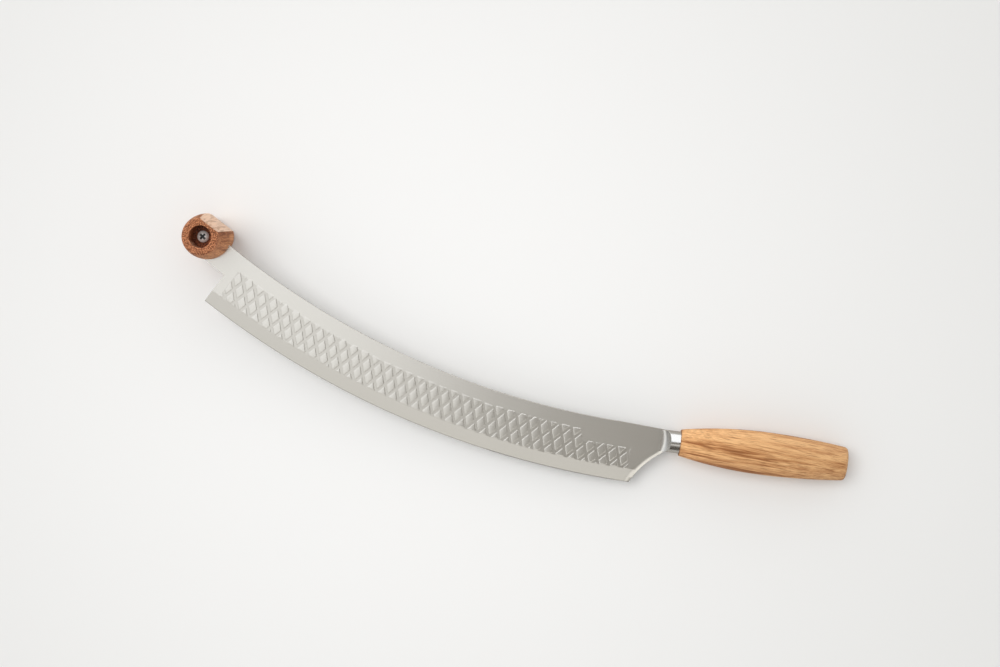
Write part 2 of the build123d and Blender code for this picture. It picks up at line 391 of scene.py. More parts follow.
steel = {
    "bladeColour": (0.70, 0.68, 0.628),
    "bladeRoughness": (0.17, 0.25),
    "bladeMetal": 0.72,
    "arcRadius": 0.6,  # metres, turns an angle into a length along the brushing
    "brushLength": 26.0,  # noise scale along the brushing, per metre
    "brushFineness": 4200.0,  # and across it
    "brushNoise": (1.0, 4.0, 0.65),  # scale, detail, roughness
    "cloudNoise": (38.0, 3.0, 0.55),
    "brushShare": 0.7,  # of the varying roughness; the rest follows the cloud
    "brushTones": (0.96, 1.03),
    "brushBump": (0.35, 0.0022 * mm),  # strength and distance
    # painted shade along the cutting edge
    "edgePaintedShade": (0.60, 0.59, 0.57),
    "honedEnds": (0.28, 0.55),  # millimetres from the edge, between which that shade fades
    # painted shade between the raised diamonds
    "valleyPaintedShade": (0.88, 0.875, 0.865),
    "valleyHeight": 0.3,  # share of the diamonds' height up to which a face is valley
    "valleyHeel": 3.2,  # heel margins between the heel and the first valley
    "neckColour": (0.78, 0.77, 0.745),
    "neckMetal": 0.97,
    "neckRoughness": 0.19,
    "frontRoughness": 0.18,
    "neckPolishFrom": (8.5 * mm, 15.0 * mm),  # between these the blade's finish turns into the polish
    "neckMarks": (300.0, 2600.0, 2600.0),  # noise scale along the neck and across it
    "neckNoise": (1.0, 3.0, 0.6),
    "spotNoise": (160.0, 2.0),
    "spotShade": 0.96,
    "markRoughness": 0.06,
    "markBump": (0.3, 0.002 * mm),
    # near white and mostly matt: partly the plating's light tone, partly a painted sheen in place of the lamp's
    # highlight that metal does not show here
    "screwColour": (0.98, 0.97, 0.95),
    "screwShade": 0.93,
    "screwNoise": (2600.0, 3.0, 0.6),
    "screwMetal": 0.25,
    "screwRoughness": (0.27, 0.08),  # the least, and what the marks add
    "screwBump": (0.3, 0.004 * mm),
    # painted shade: the near-black colour of the cross recess
    "recessPaintedShade": (0.012, 0.010, 0.009),
    "recessArm": (0.80 * mm, 2.35 * mm),
    "recessTurn": 52.0,
    "headTop": 42.0 * mm,
}


def valleyMask(net, radius, turned, rise):
    # where the painted shade goes: the sheet between the raised diamonds, inside the borders of the relief
    heel = radians(blade["heelAngle"])
    lowReach = heel + (relief["lowReach"] + relief["rowPitch"] / 2) / edgeRadius
    heelLimit = heel + steel["valleyHeel"] * relief["heelMargin"] / edgeRadius
    frontLimit = radians(blade["frontAngle"]) - relief["frontMargin"] / edgeRadius
    nearHeel = net.maths("LESS_THAN", turned, lowReach)
    drop = blade["width"] - relief["backInset"] - relief["lowInset"]
    inner = net.scaled(nearHeel, drop, backRadius + relief["backInset"] + relief["shortest"])
    height = blade["halfThickness"] + steel["valleyHeight"] * relief["height"]
    mask = net.product(net.within(radius, inner, bevelRadius), net.maths("LESS_THAN", rise, height))
    return net.product(mask, net.within(turned, heelLimit, frontLimit))


def brushedBlade():
    # brushing that follows the blade's curve: arc length along it, radius across it
    material, net, shader, place = newMaterial("bladeSteel")
    centred = net.mapping(place, location=(-curveCentre.x, -curveCentre.y, 0))
    parts = net.split(centred)
    radius = net.length(net.mapping(centred, scale=(1, 1, 0)))
    angle = net.maths("ARCTAN2", parts["X"], net.product(parts["Y"], -1.0))
    along = net.product(angle, steel["arcRadius"] * steel["brushLength"])
    across = net.product(radius, steel["brushFineness"])
    brush = net.node("CombineXYZ", {0: along, 1: across, 2: parts["Z"]})[0]
    lines = net.noise(brush, *steel["brushNoise"])
    cloud = net.noise(place, *steel["cloudNoise"])
    least, most = steel["bladeRoughness"]
    rough = net.scaled(lines, (most - least) * steel["brushShare"], least)
    rough = net.scaled(cloud, (most - least) * (1 - steel["brushShare"]), rough)
    darker, lighter = (shaded(steel["bladeColour"], share) for share in steel["brushTones"])
    tone = net.mix(lines, darker, lighter)
    # painted shade: the honed strip along the edge is darkened in colour, standing in for the dark line that the
    # edge shows
    inset = net.maths("DIVIDE", net.maths("SUBTRACT", edgeRadius, radius), 1.0 * mm)
    begin, end = steel["honedEnds"]
    tone = net.times(tone, net.ramp(inset, ((begin, steel["edgePaintedShade"]), (end, white))))
    # painted shade: the sheet between the raised diamonds is darkened in colour
    turned = net.product(angle, -1.0)
    rise = net.maths("ABSOLUTE", net.maths("SUBTRACT", parts["Z"], bladeZ))
    valley = valleyMask(net, radius, turned, rise)
    tone = net.mix(valley, tone, net.times(tone, steel["valleyPaintedShade"]))
    normal = net.bump(lines, *steel["brushBump"])
    net.feed(shader, {"Base Color": tone, "Roughness": rough, "Metallic": steel["bladeMetal"], "Normal": normal})
    return material


def neckSteel():
    # the blade's finish at the front, polished where the neck is round
    material, net, shader, place = newMaterial("bolsterSteel")
    marks = net.noise(net.mapping(place, scale=steel["neckMarks"]), *steel["neckNoise"])
    spots = net.noise(place, *steel["spotNoise"])
    begin, end = (planX + reach for reach in steel["neckPolishFrom"])
    share = net.clamped(net.shareOf(net.split(place)["X"], begin, end), 0.0, 1.0)
    rough = net.mix(share, (steel["frontRoughness"],) * 3, (steel["neckRoughness"],) * 3)
    rough = net.scaled(marks, steel["markRoughness"], rough)
    tone = net.mix(share, steel["bladeColour"], steel["neckColour"])
    tone = net.times(tone, net.mix(spots, shaded(white, steel["spotShade"]), white))
    metal = net.scaled(share, steel["neckMetal"] - steel["bladeMetal"], steel["bladeMetal"])
    normal = net.bump(marks, *steel["markBump"])
    net.feed(shader, {"Base Color": tone, "Roughness": rough, "Metallic": metal, "Normal": normal})
    return material


def screwSteel():
    # plated steel; the head's cross recess is painted near black, as painted shade
    material, net, shader, place = newMaterial("screwSteel")
    centred = net.mapping(place, location=(-knobCentre.x, -knobCentre.y, 0))
    parts = net.split(net.mapping(centred, rotation=(0, 0, -radians(steel["recessTurn"]))))
    across, along = (net.maths("ABSOLUTE", parts[axis]) for axis in ("X", "Y"))
    thin, long = steel["recessArm"]
    recess = net.maths("LESS_THAN", net.maths("MINIMUM", across, along), thin)
    near = net.maths("LESS_THAN", net.maths("MAXIMUM", across, along), long)
    onTop = net.maths("GREATER_THAN", parts["Z"], steel["headTop"])
    recess = net.product(net.product(recess, near), onTop)
    marks = net.noise(place, *steel["screwNoise"])
    tone = net.mix(marks, shaded(steel["screwColour"], steel["screwShade"]), steel["screwColour"])
    # painted shade: the cross on the head's top is near black, where the recess lies in shade
    tone = net.mix(recess, tone, steel["recessPaintedShade"])
    least, added = steel["screwRoughness"]
    rough, normal = net.scaled(marks, added, least), net.bump(marks, *steel["screwBump"])
    net.feed(shader, {"Base Color": tone, "Roughness": rough, "Metallic": steel["screwMetal"], "Normal": normal})
    return material


# Wood

wood = {
    "handleTones": ((0.30, 0.118, 0.038), (0.56, 0.288, 0.120), (0.73, 0.43, 0.200)),  # dark, middle and light
    "knobTones": ((0.20, 0.058, 0.017), (0.40, 0.155, 0.060), (0.60, 0.275, 0.120)),
    "tonePlaces": (0.41, 0.48, 0.57),
    # each noise has its scale, detail, roughness and distortion, and each layer its share of the tone
    "longStretch": 0.035,
    "shortStretch": 0.06,
    "layers": (((70.0, 2.0, 0.5, 0.4), 0.28), ((330.0, 3.0, 0.6, 0.8), 0.50), ((900.0, 2.0, 0.55, 0.3), 0.22)),
    "fibreNoise": (2400.0, 3.0, 0.6),
    "poreNoise": (1500.0, 1.5, 0.5),
    "fibreTones": ((0.34, (0.55, 0.44, 0.36)), (0.54, (1.06, 1.06, 1.06))),
    "fibreShare": 0.8,
    "poreTones": ((0.30, white), (0.39, black)),
    "poreShare": 0.5,
    "poreShade": 0.6,  # share of the dark tone that the pores have
    "roughness": (0.44, 0.16),  # the least, and what the fibres add
    "specular": 0.35,
    "fibreRise": 0.5,  # height of the fibres against the depth of the pores
    "bump": (0.5, 0.12 * mm),
    "handlePlace": (-0.18, -axisY, -0.02),
    "handleTurn": (0, 0.02, radians(2.6)),  # the grain runs a little across the handle's axis
    "handleFade": (1.18, 0.86),  # tone at the handle's front and at its butt
    "jointShade": (0.45, 0.38, 0.32),  # the thin dark line where the wood meets the steel
    "jointWidth": 0.005,  # share of the handle's length
    # painted light: the paler tone of the faces that look the facet's way
    "facetPaintedLight": (0.95, 0.70, 0.53),
    "facetShare": 0.75,
    "facetNoise": (800.0, 2.0, 0.5),
    "facetStretch": 0.05,
    "facetLines": ((0.40, (0.70, 0.65, 0.61)), (0.49, white)),
    "facetFacing": (0.84, 0.92),  # how squarely a face looks the facet's way to take the painted light
    "endGrain": (0.31, 0.112, 0.048),
    "endGrainFacing": (0.10, 0.70),
    "speckNoise": (1150.0, 2.0, 0.6),
    "speckTones": ((0.38, (0.35, 0.27, 0.22)), (0.49, (0.95, 0.95, 0.95)), (0.59, (1.9, 2.15, 2.35))),
    # by distance from the knob's axis: painted shade in the well, then a painted highlight on its lip
    "wellUnit": 10.0 * mm,
    "wellShadeAndLipHighlight": (
        (0.772, (0.52, 0.38, 0.31)), (0.782, (1.5, 1.6, 1.7)), (0.812, (1.4, 1.45, 1.5)), (0.83, white),
    ),
}


def oakColour(net, local, grainAxis, tones):
    # growth layers, long fibres and dark pores, all stretched along the grain
    def stretched(share):
        return net.mapping(local, scale=tuple(share if i == grainAxis else 1.0 for i in range(3)))

    long = stretched(wood["longStretch"])
    tone = 0.0
    for noise, share in wood["layers"]:
        tone = net.scaled(net.noise(long, *noise), share, tone)
    fibres = net.noise(long, *wood["fibreNoise"])
    pores = net.noise(stretched(wood["shortStretch"]), *wood["poreNoise"])
    colour = net.ramp(tone, tuple(zip(wood["tonePlaces"], tones)))
    colour = net.times(colour, net.ramp(fibres, wood["fibreTones"]), wood["fibreShare"])
    poreMask = net.ramp(pores, wood["poreTones"])
    share = net.product(poreMask, wood["poreShare"])
    return net.mix(share, colour, shaded(tones[0], wood["poreShade"])), fibres, poreMask


def finishOak(net, shader, colour, fibres, poreMask):
    least, added = wood["roughness"]
    rough = net.scaled(fibres, added, least)
    heights = net.maths("SUBTRACT", net.product(fibres, wood["fibreRise"]), poreMask)
    normal = net.bump(heights, *wood["bump"])
    net.feed(shader, {"Base Color": colour, "Roughness": rough, "Normal": normal})
    net.feed(shader, {"Specular IOR Level": wood["specular"]})


def handleWood():
    material, net, shader, place = newMaterial("handleOak")
    local = net.mapping(place, location=wood["handlePlace"], rotation=wood["handleTurn"])
    colour, fibres, poreMask = oakColour(net, local, 0, wood["handleTones"])
    front = planX + bolster["rearX"]
    reach = net.shareOf(net.split(place)["X"], front, front + handle["length"])
    strong, weak = (shaded(white, share) for share in wood["handleFade"])
    fade = net.ramp(reach, ((0.0, wood["jointShade"]), (wood["jointWidth"], strong), (1.0, weak)))
    finishOak(net, shader, net.times(colour, fade), fibres, poreMask)
    return material


def knobWood():
    # grain along the knob's axis; the end grain reddish and speckled; painted light on the facet, painted shade in
    # the wells and a painted highlight on their lips
    material, net, shader, place = newMaterial("knobOak")
    local = net.mapping(place, location=tuple(-c for c in knobCentre))
    colour, fibres, poreMask = oakColour(net, local, 2, wood["knobTones"])
    normal = net.node("NewGeometry")["Normal"]
    turn = radians(layout["facetTurn"])
    facing = net.dot(normal, (cos(turn), sin(turn), 0.0))
    lines = net.noise(net.mapping(local, scale=(1, 1, wood["facetStretch"])), *wood["facetNoise"])
    # painted light: faces that look the facet's way are made paler, as if lit
    paintedFacet = net.mix(wood["facetShare"], colour, wood["facetPaintedLight"])
    paintedFacet = net.times(paintedFacet, net.ramp(lines, wood["facetLines"]))
    onFacet = net.ramp(net.shareOf(facing, *wood["facetFacing"]), ((0.0, black), (1.0, white)))
    colour = net.mix(onFacet, colour, paintedFacet)
    begin, end = wood["endGrainFacing"]
    onEnd = net.ramp(net.maths("ABSOLUTE", net.split(normal)["Z"]), ((begin, black), (end, white)))
    speck = net.ramp(net.noise(local, *wood["speckNoise"]), wood["speckTones"])
    colour = net.mix(onEnd, colour, net.times(wood["endGrain"], speck))
    # painted shade inside the well and a painted highlight on its lip, by distance from the axis
    radius = net.length(net.mapping(local, scale=(1, 1, 0)))
    well = net.ramp(net.maths("DIVIDE", radius, wood["wellUnit"]), wood["wellShadeAndLipHighlight"])
    finishOak(net, shader, net.times(colour, well), fibres, poreMask)
    return material


# Blade

blade = {
    "edgeRadius": 615.995 * mm,
    "width": 41.0 * mm,
    "halfThickness": 1.1 * mm,
    "halfEdge": 0.15 * mm,
    "honedWidth": 0.35 * mm,  # the honed strip along the cutting edge
    "honedHalfEdge": 0.02 * mm,
    "bevelWidth": 9.2 * mm,
    "heelAngle": 0.86,  # degrees from the curve's centre line, towards the knob
    "frontAngle": 30.95,
    "tongueWidth": 18.4 * mm,
    "notchFillet": 1.5 * mm,
    "tongueEndAngle": 34.22,
    "tongueCorner": 1.6 * mm,
    "shoulder": (13.0 * mm, 7.52 * mm),  # where the plate ends in the bolster: its X and its half width
    "choilMiddle": (-1.0 * mm, -19.4 * mm),
    "columns": (150, 8),  # of the main run and of the tongue
    "rows": (5, 4, 3),  # of the tongue, the face beside it and the bevel
    "notchSteps": (0.15, 0.35, 0.65, 1.0),
    "heelStart": 2.2,  # angle from which the columns lean over to the heel's hollow curve
    "heelSteps": (0.8, 0.6, 0.4, 0.22),  # shares of the way that are left
    "choilRounding": 4.4 * mm,
    "choilDrop": 0.58 * mm,
    "choilSteps": (1.0, 0.84, 0.68, 0.52, 0.36, 0.18, 0.0),  # shares of the rounding that are left
    "choilLeast": 0.3,  # share of the half thickness that stays under the rounding
    "tang": (12.0 * mm, 82.0 * mm, 9.0 * mm),  # start, end and width
    "spineRounding": 0.3 * mm,
    "spineReach": 0.01 * mm,  # an edge this close to the back's curve belongs to the back
    "spineAngle": 60.0,
    "sharpAngle": 4.5,
}
edgeRadius = blade["edgeRadius"]
backRadius = edgeRadius - blade["width"]
bevelRadius = edgeRadius - blade["bevelWidth"]
notchRadius = backRadius + blade["tongueWidth"]

relief = {
    "rowPitch": 8.41 * mm,
    "columnPitch": 14.41 * mm,
    "rowTurn": -14.84,
    "reach": (8, 90),  # half pitches on either side of the middle, across the blade and along it
    "padShare": 0.76,
    "height": 0.085 * mm,
    "foot": 0.03 * mm,  # depth of the pads' feet in the plate
    "bevelLift": 0.004 * mm,  # and how far they may rise above the ground bevel
    "bevelReach": 4.5 * mm,  # a pad ends at this distance beyond the bevel's start
    "shortest": 1.0 * mm,  # borders shorter than this are merged away
    "middleAngle": 15.15,
    "middleInset": 17.7 * mm,
    "backInset": 9.6 * mm,
    "frontMargin": 6.6 * mm,
    "heelMargin": 1.5 * mm,
    "endSlack": 0.5,  # degrees that a pad's middle may lie beyond an end
    "endReach": 1.2,  # degrees from an end within which it cuts pads
    "lowReach": 35.0 * mm,  # near the heel the relief starts lower
    "lowInset": 23.8 * mm,
    "slopes": ((0.20 * mm, 0.35), (0.26 * mm, 0.45), (0.38 * mm, 0.20)),  # inset and share of the height
    "inradiusShare": 0.45,  # a small pad's slopes take at most this share of its width
    "sideShare": 0.8,  # and of what would use up one of its sides
    "smallest": 0.25,  # pads scaled below this are left out
}


def onCurve(radius, angle, z=0.0):
    turn = radians(angle)
    return curveCentre + Vector((-radius * sin(turn), -radius * cos(turn), z))


def radiusOf(co):
    return (co.xy - curveCentre.xy).length


def circleThrough(a, b, c):
    # centre and radius of the circle through three points
    ab, ac = b - a, c - a
    squareB, squareC = ab.length_squared, ac.length_squared
    middle = Vector((ac.y * squareB - ab.y * squareC, ab.x * squareC - ac.x * squareB)) / (2 * ab.cross(ac))
    return a + middle, middle.length


def heelEnd(radius):
    # where the plate ends towards the handle, at this distance from the curve's centre
    shoulderX = planX + blade["shoulder"][0]
    shoulderTop = Vector((shoulderX, axisY + blade["shoulder"][1]))
    shoulderLow = Vector((shoulderX, axisY - blade["shoulder"][1]))
    heel = onCurve(edgeRadius, blade["heelAngle"]).xy
    middle = Vector((planX + blade["choilMiddle"][0], axisY + blade["choilMiddle"][1]))
    centre, arcRadius = circleThrough(shoulderLow, middle, heel)
    lowRadius = (shoulderLow - curveCentre.xy).length
    if radius <= lowRadius:
        share = (radius - backRadius) / (lowRadius - backRadius)
        return shoulderTop.lerp(shoulderLow, max(0.0, min(1.0, share)))
    # two circles cross: the plate's circle of this radius and the choil's arc
    gap = centre - curveCentre.xy
    distance = gap.length
    reach = (radius**2 - arcRadius**2 + distance**2) / (2 * distance)
    half = sqrt(max(radius**2 - reach**2, 0.0))
    along = gap / distance
    side = Vector((-along.y, along.x))
    options = [curveCentre.xy + along * reach + side * half, curveCentre.xy + along * reach - side * half]
    return min(options, key=lambda p: (p - middle).length)


def plateRows():
    # distances from the curve's centre, from the back to the cutting edge
    onTongue, onFace, onBevel = blade["rows"]
    rows = between(backRadius, notchRadius, onTongue)
    rows += [notchRadius + blade["notchFillet"] * share for share in blade["notchSteps"]]
    rows += between(rows[-1], bevelRadius, onFace, 1)
    return rows + between(bevelRadius, edgeRadius - blade["honedWidth"], onBevel, 1) + [edgeRadius]


def halfThickness(radius):
    if radius <= bevelRadius + tiny:
        return blade["halfThickness"]
    if radius > edgeRadius - tiny:
        return blade["honedHalfEdge"]
    share = (radius - bevelRadius) / blade["bevelWidth"]
    return blade["halfThickness"] + (blade["halfEdge"] - blade["halfThickness"]) * share


def makeTongue(bm, front):
    # a small rounding in the notch, then the tongue's own columns and its two corners
    fillet = blade["notchFillet"]
    for vert in front:
        rise = radiusOf(vert.co) - notchRadius
        if -tiny < rise < fillet:
            step = fillet - sqrt(max(fillet**2 - (fillet - max(rise, 0.0)) ** 2, 0.0))
            vert.co = onCurve(notchRadius + rise, blade["frontAngle"] + degrees(step / notchRadius))
    tongue = [v for v in front if radiusOf(v.co) < notchRadius + tiny]
    edges = [e for v in tongue for e in v.link_edges if e.other_vert(v) in tongue and len(e.link_faces) == 1]
    edges = list(dict.fromkeys(edges))
    for angle in between(blade["frontAngle"], blade["tongueEndAngle"], blade["columns"][1], 1):
        verts, edges = extrudeRow(bm, edges)
        for vert in verts:
            vert.co = onCurve(radiusOf(vert.co), angle)
    corners = sorted(verts, key=lambda v: radiusOf(v.co))
    bmesh.ops.bevel(
        bm, geom=[corners[0], corners[-1]], offset=blade["tongueCorner"], offset_type="OFFSET", segments=4,
        profile=0.5, affect="VERTICES", material=-1
    )


def leanHeel(bm, start, column):
    # the rows lean over to the hollow curve up from the heel and to the shoulders
    origins = sorted((v.co.copy() for v in start), key=radiusOf)
    ends = [heelEnd(radiusOf(co)).to_3d() + Vector((0, 0, curveCentre.z)) for co in origins]
    edges = [e for e in column if e.is_valid]
    steps = [("share", share) for share in blade["heelSteps"]] + [("reach", share) for share in blade["choilSteps"]]
    drops = {}
    current = origins
    for kind, amount in steps:
        following = []
        for origin, end in zip(origins, ends):
            run = (origin - end).length
            left = run * amount if kind == "share" else blade["choilRounding"] * amount
            following.append(end.lerp(origin, left / run))
        verts, edges = extrudeRow(bm, edges)
        for vert in verts:
            nearest = min(range(len(current)), key=lambda k: (vert.co - current[k]).length)
            vert.co = following[nearest]
            if kind == "reach":
                drops[vert] = blade["choilDrop"] * (1 - amount) ** 2
        current = following
    return drops


def makePlate(bm):
    # the flat sheet, and how far the choil's rounding lowers its vertices there
    start = [bm.verts.new(onCurve(radius, blade["heelStart"])) for radius in plateRows()]
    column = [bm.edges.new(pair) for pair in zip(start, start[1:])]
    # main run, a spin of the cross-section from the heel to the front
    sweep = radians(blade["frontAngle"] - blade["heelStart"])
    made = bmesh.ops.spin(
        bm, geom=start + column, cent=curveCentre, axis=(0, 0, -1), angle=sweep, steps=blade["columns"][0]
    )["geom_last"]
    makeTongue(bm, sorted(vertsIn(made), key=lambda v: radiusOf(v.co)))
    return leanHeel(bm, start, column)


def thickenPlate(bm, drops):
    # a copy of the flat sheet is lifted to the upper face, the sheet itself becomes the lower one
    places = [(v.co.copy(), drop) for v, drop in drops.items() if drop > 0]
    upper = set(vertsIn(bmesh.ops.extrude_face_region(bm, geom=list(bm.faces))["geom"]))
    for vert in bm.verts:
        half = halfThickness(radiusOf(vert.co))
        for spot, drop in places:
            if (vert.co - spot).length < tiny:
                half = max(half - drop, blade["choilLeast"] * half)
        vert.co.z = bladeZ + (half if vert in upper else -half)
    faceOutward(bm)


def onBack(edge):
    first, second = edge.verts
    level = abs(first.co.z - second.co.z) < blade["spineReach"]
    return level and all(abs(radiusOf(v.co) - backRadius) < blade["spineReach"] for v in edge.verts)


def softenSpine(bm):
    # the back of the blade is rounded over; the other borders stay crisp
    limit = radians(blade["spineAngle"])
    rim = [e for e in bm.edges if len(e.link_faces) == 2 and e.calc_face_angle(0.0) > limit and onBack(e)]
    bmesh.ops.bevel(
        bm, geom=rim, offset=blade["spineRounding"], offset_type="OFFSET", segments=3, profile=0.5, affect="EDGES",
        material=-1, clamp_overlap=True
    )


def padCentres():
    # every other point of a half-pitch grid, where the relief reaches
    start = onCurve(edgeRadius - relief["middleInset"], relief["middleAngle"])
    turn = radians(relief["rowTurn"])
    along = Vector((cos(turn), sin(turn), 0))
    across = Vector((-sin(turn), cos(turn), 0))
    rowReach, stepReach = relief["reach"]
    centres = []
    for row in range(-rowReach, rowReach + 1):
        for step in range(-stepReach, stepReach + 1):
            spot = start + along * (step * relief["rowPitch"] / 2) + across * (row * relief["columnPitch"] / 2)
            if (row + step) % 2 == 0 and backRadius < radiusOf(spot) < edgeRadius:
                centres.append(spot)
    return centres, along, across


def cutAway(bm, point, normal, close=False):
    geom = [*bm.verts, *bm.edges, *bm.faces]
    made = bmesh.ops.bisect_plane(bm, geom=geom, dist=1e-7, plane_co=point, plane_no=normal, clear_outer=True)
    if close and bm.faces:
        cut = [item for item in made["geom_cut"] if isinstance(item, bmesh.types.BMEdge) and item.is_valid]
        if len(cut) > 2:
            bmesh.ops.edgeloop_fill(bm, edges=cut)


def cutOutline(pad, spot, along, across):
    # one flat diamond, cut off at the borders of the relief
    perDegree = radians(edgeRadius)
    front = blade["frontAngle"] - relief["frontMargin"] / perDegree
    heel = blade["heelAngle"] + relief["heelMargin"] / perDegree
    fromCentre = spot - curveCentre
    angle = degrees(atan2(-fromCentre.x, -fromCentre.y))
    if not heel - relief["endSlack"] < angle < front + relief["endSlack"]:
        return
    length, width = along * relief["rowPitch"] / 2, across * relief["columnPitch"] / 2
    corners = [spot + side * relief["padShare"] for side in (length, width, -length, -width)]
    base = bladeZ + blade["halfThickness"] - relief["foot"]
    pad.faces.new([pad.verts.new((p.x, p.y, base)) for p in corners])
    outward = fromCentre.normalized()
    low = angle < blade["heelAngle"] + relief["lowReach"] / perDegree
    inner = edgeRadius - relief["lowInset"] if low else backRadius + relief["backInset"]
    cutAway(pad, onCurve(inner, angle), -outward)
    cutAway(pad, onCurve(bevelRadius + relief["bevelReach"], angle), outward)
    for limit, sign in ((front, 1), (heel, -1)):
        if abs(angle - limit) < relief["endReach"]:
            turn = radians(limit)
            towardsTip = Vector((-cos(turn), sin(turn), 0))
            cutAway(pad, onCurve(edgeRadius, limit), towardsTip * sign)
    bmesh.ops.remove_doubles(pad, verts=pad.verts, dist=relief["shortest"])


def raisePad(pad, spot):
    # the flat pad gets a foot and slopes in steps; a pad cut small has narrower slopes and is lower
    face = pad.faces[:][0]
    limits = [relief["inradiusShare"] * 2 * face.calc_area() / face.calc_perimeter()]
    for loop in face.loops:
        shrink = sum(1 / tan(corner.calc_angle() / 2) for corner in (loop, loop.link_loop_next))
        limits.append(relief["sideShare"] * loop.edge.calc_length() / shrink)
    scale = min(1.0, min(limits) / sum(inset for inset, share in relief["slopes"]))
    if scale < relief["smallest"]:
        pad.clear()
        return
    if face.normal.z < 0:
        face.normal_flip()
    made = bmesh.ops.extrude_face_region(pad, geom=[face])["geom"]
    bmesh.ops.translate(pad, vec=(0, 0, relief["foot"]), verts=vertsIn(made))
    top = next(item for item in made if isinstance(item, bmesh.types.BMFace))
    for inset, share in relief["slopes"]:
        bmesh.ops.inset_region(
            pad, faces=[top], thickness=inset * scale, depth=0.0, use_even_offset=True, use_boundary=True
        )
        bmesh.ops.translate(pad, vec=(0, 0, relief["height"] * share * scale), verts=list(top.verts))
    # the ground bevel takes the foot of the lowest pads with it
    outward = (spot - curveCentre).normalized()
    slope = (blade["halfThickness"] - blade["halfEdge"]) / blade["bevelWidth"]
    start = curveCentre + outward * bevelRadius + Vector((0, 0, blade["halfThickness"] + relief["bevelLift"]))
    cutAway(pad, start, (Vector((0, 0, 1)) + outward * slope).normalized(), close=True)
    faceOutward(pad)


def addRelief(bm):
    # raised diamonds on both faces
    centres, along, across = padCentres()
    count = 0
    for side in (1, -1):
        for spot in centres:
            pad = bmesh.new()
            cutOutline(pad, spot, along, across)
            if pad.faces:
                raisePad(pad, spot)
            if side < 0:
                middle = Matrix.Translation((0, 0, -bladeZ))
                bmesh.ops.scale(pad, vec=(1, 1, -1), verts=pad.verts, space=middle)
                bmesh.ops.reverse_faces(pad, faces=pad.faces)
            count += 1 if pad.faces else 0
            mesh = bpy.data.meshes.new("pad")
            pad.to_mesh(mesh)
            pad.free()
            bm.from_mesh(mesh)
            bpy.data.meshes.remove(mesh)
    print("blade with", count, "relief pads")


def makeBlade():
    bm = bmesh.new()
    thickenPlate(bm, makePlate(bm))
    softenSpine(bm)
    # tang, inside the handle
    start, end, width = blade["tang"]
    middle = Matrix.Translation((planX + (start + end) / 2, axisY, bladeZ))
    size = Matrix.Diagonal((end - start, width, 2 * blade["halfThickness"], 1))
    bmesh.ops.create_cube(bm, size=1.0, matrix=middle @ size)
    addRelief(bm)
    finishPiece(bm, "blade_steel_plate", "blade", brushedBlade(), blade["sharpAngle"])


# Bolster

bolster = {
    "radius": 7.6 * mm,
    "frontX": 7.0 * mm,
    "rearX": 22.3 * mm,
    "lip": 1.104 * mm,
    "hollowRadius": 7.6 * mm,
    "hollowEase": 2.4,  # above 1 the hollow starts more gently than a circle
    "hollowBulge": 1.2 * mm,  # how far later it starts at the middle than at the sides
    "segments": 192,
    "stations": 74,
    "sharpAngle": 25.0,
}


def makeBolster():
    # round bar along the handle's axis, ground hollow on both faces towards the blade
    bm = bmesh.new()
    front = planX + bolster["frontX"]
    edges = barRing(bm, front, bolster["radius"], bolster["segments"])[1]
    step = (bolster["rearX"] - bolster["frontX"]) / bolster["stations"]
    for _ in range(bolster["stations"]):
        verts, edges = extrudeRow(bm, edges)
        bmesh.ops.translate(bm, vec=(step, 0, 0), verts=verts)
    for vert in bm.verts:
        across = (vert.co.y - axisY) / bolster["radius"]
        reach = max(vert.co.x - front - bolster["hollowBulge"] * (1 - across**2), 0.0)
        share = min(reach / bolster["hollowRadius"], 1.0) ** bolster["hollowEase"]
        rise = bolster["hollowRadius"] * (1 - sqrt(1 - share**2))
        limit = bolster["lip"] + rise if reach < bolster["hollowRadius"] else bolster["radius"]
        height = vert.co.z - bladeZ
        vert.co.z = bladeZ + max(-limit, min(limit, height))
    closeEnds(bm)
    finishPiece(bm, "bolster_neck", "bolster", neckSteel(), bolster["sharpAngle"])


# Handle

handle = {
    "length": 115.0 * mm,
    "middle": 57.0 * mm,
    "widths": (18.2 * mm, 29.8 * mm, 22.6 * mm),  # at the front, in the middle and at the butt
    "depths": (17.0 * mm, 22.0 * mm, 18.0 * mm),
    "buttRounding": 2.2 * mm,
    "frontRounding": 0.35 * mm,
    "segments": 96,
    "stations": 40,
    "frontSteps": 4,
    "buttSteps": 8,
    "sharpAngle": 35.0,
}


def swell(reach, sizes):
    front, middle, rear = sizes
    if reach < handle["middle"]:
        return middle - (middle - front) * (1 - reach / handle["middle"]) ** 2
    return middle - (middle - rear) * ((reach - handle["middle"]) / (handle["length"] - handle["middle"])) ** 2


def handleStations():
    # distance from the front and inset of each oval
    length, soft, butt = handle["length"], handle["frontRounding"], handle["buttRounding"]
    stations = []
    for turn in between(0.0, pi / 2, handle["frontSteps"]):
        stations.append((soft * (1 - cos(turn)), soft * (1 - sin(turn))))
    stations += [(reach, 0.0) for reach in between(0.0, length, handle["stations"])[1:-1]]
    for turn in between(0.0, pi / 2, handle["buttSteps"]):
        stations.append((length - butt * (1 - sin(turn)), butt * (1 - cos(turn))))
    return stations


